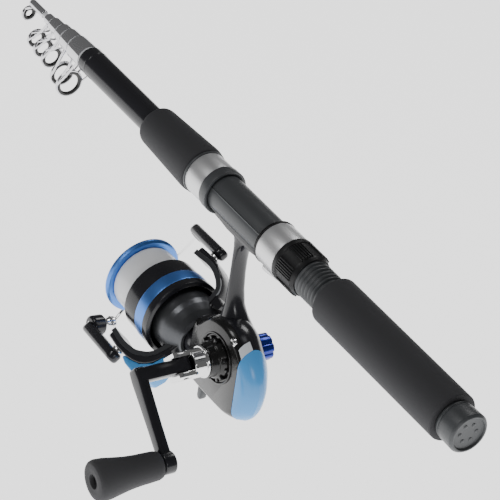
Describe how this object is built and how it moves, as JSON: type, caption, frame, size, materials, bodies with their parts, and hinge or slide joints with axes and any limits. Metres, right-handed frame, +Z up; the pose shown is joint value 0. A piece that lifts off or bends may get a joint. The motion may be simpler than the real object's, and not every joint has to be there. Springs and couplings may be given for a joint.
{
  "type": "telescopic fishing rod with spinning reel",
  "caption": "Closed telescopic fishing rod with guides, foam grips and a screw-hood reel seat, carrying a front-drag spinning reel with a folding crank.",
  "frame": {"origin": "on the rod's axis at the middle of the rear grip", "axes": "+X along the rod towards the butt, +Z up away from the reel, crank on the -Y side"},
  "size_m": [0.4651, 0.1572, 0.1567],
  "materials": {
    "black_gloss": "gloss",
    "black_satin": "satin",
    "blank": "gloss",
    "blue_metal": "anodised",
    "blue_paint": "metallic",
    "brass": "machined",
    "chrome": "polished",
    "felt": "felt",
    "foam": "matte",
    "guide_lining": "gloss",
    "guide_metal": "polished",
    "knob_rubber": "matte",
    "line": "clear",
    "pearl": "pearl",
    "section_paint": "gloss",
    "silver_ring": "satin",
    "steel": "machined",
    "zinc": "cast"
  },
  "bodies": {
    "rod_butt": {"rear_grip": "foam", "reel_seat": "black_satin", "fixed_hood_rim": "black_satin", "fixed_hood_ring": "silver_ring", "fore_grip": "foam", "butt_tube": "blank", "gear_case": "black_gloss", "side_cover": "black_gloss", "rear_cover": "blue_paint", "trim_strip": "pearl", "cover_screw": "chrome", "pinion_bearing": "steel", "one_way_clutch": "steel", "axle_bearing_near": "steel", "axle_bearing_far": "steel"},
    "butt_plug": {"butt_cap": "black_satin"},
    "hood": {"sliding_hood": "silver_ring", "hood_lip": "black_satin"},
    "nut": {"lock_nut": "black_satin"},
    "drive": {"drive_gear": "zinc", "crank_bracket": "chrome", "fold_pin": "steel"},
    "rotor_group": {"pinion": "brass", "rotor": "black_gloss", "rotor_arm_cover": "blue_paint", "rotor_nut": "steel"},
    "oscillator": {"oscillation_gear": "zinc"},
    "shaft_group": {"main_shaft": "steel", "slider": "zinc", "drag_washers": "felt"},
    "spool_group": {"spool": "black_gloss", "spool_lip": "blue_metal", "spool_band": "blue_metal", "line_winding": "line"},
    "drag_cap": {"drag_knob": "black_satin"},
    "bail": {"bail_arm": "black_gloss", "bail_lever": "black_gloss", "bail_wire": "chrome"},
    "roller": {"line_roller": "chrome"},
    "crank": {"crank_arm": "black_gloss"},
    "grip_knob": {"knob": "knob_rubber"},
    "cap": {"screw_cap": "blue_metal"},
    "reverse_lever": {"anti_reverse_lever": "black_satin"},
    "extension_1": {"section_1": "section_paint", "guide_frame_1": "guide_metal", "guide_ring_1": "guide_lining"},
    "extension_2": {"section_2": "section_paint", "guide_frame_2": "guide_metal", "guide_ring_2": "guide_lining"},
    "extension_3": {"section_3": "section_paint", "guide_frame_3": "guide_metal", "guide_ring_3": "guide_lining"},
    "extension_4": {"section_4": "section_paint", "guide_frame_4": "guide_metal", "guide_ring_4": "guide_lining"},
    "extension_5": {"section_5": "section_paint", "guide_frame_5": "guide_metal", "guide_ring_5": "guide_lining"},
    "extension_6": {"section_6": "section_paint", "guide_frame_6": "guide_metal"}
  },
  "joints": [
    {"name": "butt_cap_turn", "type": "hinge", "parent": "rod_butt", "child": "butt_plug", "pos_m": [0.062, 0, 0], "axis": [1, 0, 0], "continuous": true},
    {"name": "hood_slide", "type": "slide", "parent": "rod_butt", "child": "hood", "axis": [1, 0, 0], "range_m": [0, 0.018]},
    {"name": "nut_turn", "type": "hinge", "parent": "hood", "child": "nut", "pos_m": [-0.086, 0, 0], "axis": [1, 0, 0], "range_deg": [0, 2161]},
    {"name": "handle_turn", "type": "hinge", "parent": "rod_butt", "child": "drive", "pos_m": [-0.1295, 0, -0.086], "axis": [0, 1, 0], "continuous": true},
    {"name": "rotor_turn", "type": "hinge", "parent": "rod_butt", "child": "rotor_group", "pos_m": [-0.14, 0, -0.0984], "axis": [1, 0, 0], "continuous": true},
    {"name": "oscillation_turn", "type": "hinge", "parent": "rod_butt", "child": "oscillator", "pos_m": [-0.1295, 0.006, -0.0984], "axis": [0, 1, 0], "continuous": true},
    {"name": "shaft_slide", "type": "slide", "parent": "rod_butt", "child": "shaft_group", "axis": [1, 0, 0], "range_m": [-0.005, 0.007]},
    {"name": "spool_drag_turn", "type": "hinge", "parent": "shaft_group", "child": "spool_group", "pos_m": [-0.22, 0, -0.0984], "axis": [1, 0, 0], "continuous": true},
    {"name": "drag_knob_turn", "type": "hinge", "parent": "shaft_group", "child": "drag_cap", "pos_m": [-0.235, 0, -0.0984], "axis": [1, 0, 0], "continuous": true},
    {"name": "bail_flip", "type": "hinge", "parent": "rotor_group", "child": "bail", "pos_m": [-0.201, 0, -0.0984], "axis": [0, 0.7431, 0.6691], "range_deg": [0, 110]},
    {"name": "line_roller_turn", "type": "hinge", "parent": "bail", "child": "roller", "pos_m": [-0.23875, -0.01483, -0.1353], "axis": [0.02, 0.9964, -0.0819], "continuous": true},
    {"name": "crank_fold", "type": "hinge", "parent": "drive", "child": "crank", "pos_m": [-0.1295, -0.036, -0.086], "axis": [0.7674, 0, -0.6412], "range_deg": [0, 90]},
    {"name": "knob_turn", "type": "hinge", "parent": "crank", "child": "grip_knob", "pos_m": [-0.09059, -0.09, -0.11851], "axis": [0, 1, 0], "continuous": true},
    {"name": "screw_cap_turn", "type": "hinge", "parent": "drive", "child": "cap", "pos_m": [-0.1295, 0.016, -0.086], "axis": [0, 1, 0], "continuous": true},
    {"name": "anti_reverse_turn", "type": "hinge", "parent": "rod_butt", "child": "reverse_lever", "pos_m": [-0.1536, 0, -0.1214], "axis": [1, 0, 0], "range_deg": [-20, 20]},
    {"name": "extension_1_slide", "type": "slide", "parent": "rod_butt", "child": "extension_1", "axis": [-1, 0, 0], "range_m": [0, 0.32]},
    {"name": "extension_2_slide", "type": "slide", "parent": "extension_1", "child": "extension_2", "axis": [-1, 0, 0], "range_m": [0, 0.32]},
    {"name": "extension_3_slide", "type": "slide", "parent": "extension_2", "child": "extension_3", "axis": [-1, 0, 0], "range_m": [0, 0.32]},
    {"name": "extension_4_slide", "type": "slide", "parent": "extension_3", "child": "extension_4", "axis": [-1, 0, 0], "range_m": [0, 0.32]},
    {"name": "extension_5_slide", "type": "slide", "parent": "extension_4", "child": "extension_5", "axis": [-1, 0, 0], "range_m": [0, 0.32]},
    {"name": "extension_6_slide", "type": "slide", "parent": "extension_5", "child": "extension_6", "axis": [-1, 0, 0], "range_m": [0, 0.32]}
  ],
  "couplings": [
    {"joint": "nut_turn", "follows": "hood_slide", "rad_per_m": 2094.4},
    {"joint": "rotor_turn", "follows": "handle_turn", "ratio": -5.125},
    {"joint": "oscillation_turn", "follows": "handle_turn", "ratio": -0.5}
  ]
}
